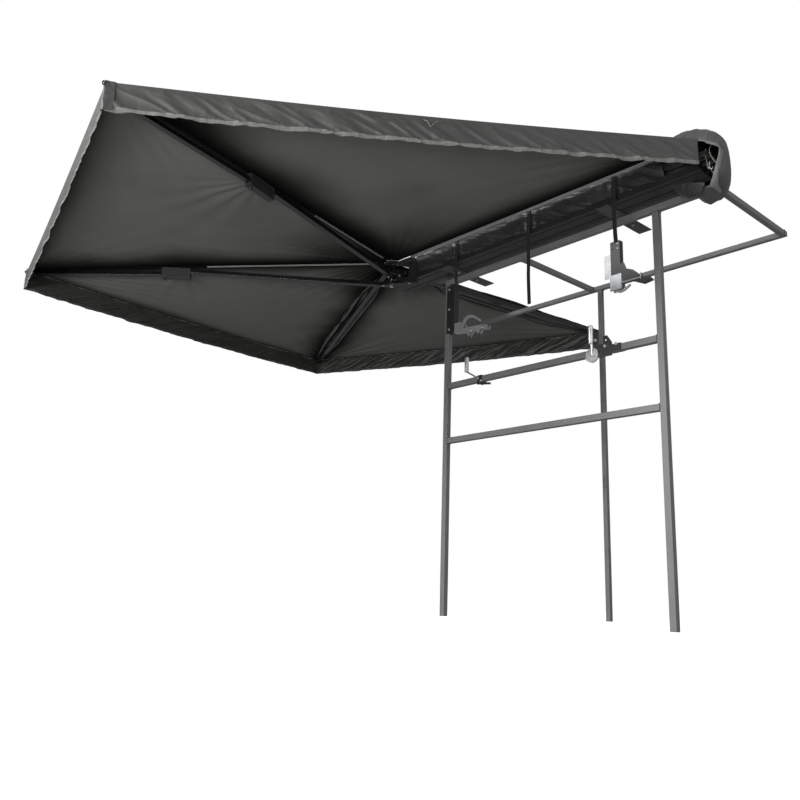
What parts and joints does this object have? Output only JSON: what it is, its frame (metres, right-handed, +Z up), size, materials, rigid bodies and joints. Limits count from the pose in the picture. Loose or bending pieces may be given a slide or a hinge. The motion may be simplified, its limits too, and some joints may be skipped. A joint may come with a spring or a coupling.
{
  "type": "vehicle_side_awning",
  "caption": "Fan-shaped vehicle side awning with four folding arms, open on its welded steel display stand, with bag, straps and rail clamps",
  "frame": {"origin": "Centre of the lower face of the front left leg, on the floor", "axes": "+X along the backbone from the hub side to the bag's gathered end, +Y away from the awning towards where the vehicle stands, +Z up"},
  "size_m": [5.0463, 4.8688, 2.7555],
  "materials": {
    "stand_steel": "satin",
    "backbone_aluminium": "satin",
    "arm_aluminium": "satin",
    "black_steel": "satin",
    "zinc_steel": "satin",
    "bright_alloy": "satin",
    "black_plastic": "matte",
    "canvas": "matte",
    "webbing": "matte"
  },
  "bodies": {
    "stand": {"leg_front_left": "stand_steel", "leg_front_right": "stand_steel", "leg_rear": "stand_steel", "rail_front": "stand_steel", "rail_rear": "stand_steel", "cross_member_mid": "stand_steel", "cross_member_right": "stand_steel", "rail_middle": "stand_steel", "rail_lower": "stand_steel", "mount_plate_left": "stand_steel", "mount_plate_right": "stand_steel", "backbone": "backbone_aluminium", "hub_plate_lower": "zinc_steel", "hub_plate_upper": "black_steel", "hub_post": "black_steel", "end_housing": "black_plastic", "hub_pin": "zinc_steel", "hub_cap": "black_plastic", "bag_flap": "canvas", "bag_cover": "canvas", "bag_end": "canvas", "strap_left": "webbing", "strap_middle": "webbing", "strap_right": "webbing", "channel_front": "black_steel", "clamp_front_body": "zinc_steel", "channel_rear": "black_steel", "clamp_rear_body": "zinc_steel", "bracket_mid_plate": "black_steel", "crank_clamp_body": "black_steel"},
    "arm_1": {"arm_1_knuckle": "arm_aluminium", "arm_1_tube": "arm_aluminium", "arm_1_tip": "black_plastic", "arm_1_sleeve": "black_plastic", "arm_1_outer": "arm_aluminium", "canopy_panel_1": "canvas", "valance_1": "canvas"},
    "arm_2": {"arm_2_knuckle": "arm_aluminium", "arm_2_tube": "arm_aluminium", "arm_2_tip": "black_plastic", "arm_2_sleeve": "black_plastic", "arm_2_outer": "arm_aluminium", "canopy_panel_2": "canvas", "valance_2": "canvas"},
    "arm_3": {"arm_3_knuckle": "arm_aluminium", "arm_3_tube": "arm_aluminium", "arm_3_tip": "black_plastic", "canopy_panel_3": "canvas", "valance_3": "canvas"},
    "arm_4": {"arm_4_knuckle": "arm_aluminium", "arm_4_tube": "arm_aluminium", "arm_4_tip": "black_plastic", "canopy_panel_4": "canvas", "valance_4": "canvas"},
    "arm_1_lock_knob": {"arm_1_lock_knob": "black_plastic"},
    "arm_2_lock_knob": {"arm_2_lock_knob": "black_plastic"},
    "clamp_front_lever": {"clamp_front_lever": "zinc_steel"},
    "clamp_rear_lever": {"clamp_rear_lever": "zinc_steel"},
    "bracket_mid_handle": {"bracket_mid_handle": "bright_alloy"},
    "crank_handle": {"crank_handle": "bright_alloy"}
  },
  "joints": [
    {"name": "arm_1", "type": "hinge", "parent": "stand", "child": "arm_1", "pos_m": [-0.32, -0.3, 2.4], "axis": [0, 0, 1], "range_deg": [0, 71.14], "deforming": ["canopy_panel_1", "valance_1"]},
    {"name": "arm_2", "type": "hinge", "parent": "arm_1", "child": "arm_2", "pos_m": [-0.32, -0.3, 2.4], "axis": [0, 0, 1], "range_deg": [0, 58.51], "deforming": ["canopy_panel_2", "valance_2"]},
    {"name": "arm_3", "type": "hinge", "parent": "arm_2", "child": "arm_3", "pos_m": [-0.32, -0.3, 2.4], "axis": [0, 0, 1], "range_deg": [0, 74.69], "deforming": ["canopy_panel_3", "valance_3"]},
    {"name": "arm_4", "type": "hinge", "parent": "arm_3", "child": "arm_4", "pos_m": [-0.32, -0.3, 2.4], "axis": [0, 0, 1], "range_deg": [0, 72.76], "deforming": ["canopy_panel_4", "valance_4"]},
    {"name": "arm_1_lock_knob", "type": "hinge", "parent": "arm_1", "child": "arm_1_lock_knob", "pos_m": [0.23498, -1.87517, 2.41216], "axis": [0, 0, 1], "range_deg": [-180, 180]},
    {"name": "arm_2_lock_knob", "type": "hinge", "parent": "arm_2", "child": "arm_2_lock_knob", "pos_m": [-1.44205, -1.5975, 2.39716], "axis": [0, 0, 1], "range_deg": [-180, 180]},
    {"name": "clamp_front_lever", "type": "hinge", "parent": "stand", "child": "clamp_front_lever", "pos_m": [0.1346, 0, 2.05], "axis": [0, -1, 0], "range_deg": [0, 70]},
    {"name": "clamp_rear_lever", "type": "hinge", "parent": "stand", "child": "clamp_rear_lever", "pos_m": [0.88175, 0.845, 2.38], "axis": [0, 1, 0], "range_deg": [0, 75]},
    {"name": "bracket_mid_handle", "type": "hinge", "parent": "stand", "child": "bracket_mid_handle", "pos_m": [1.2745, -0.0243, 1.597], "axis": [0, -1, 0], "range_deg": [0, 90]},
    {"name": "crank_handle", "type": "hinge", "parent": "stand", "child": "crank_handle", "pos_m": [0.334, -0.0363, 1.617], "axis": [0, 1, 0], "range_deg": [-180, 180]}
  ]
}
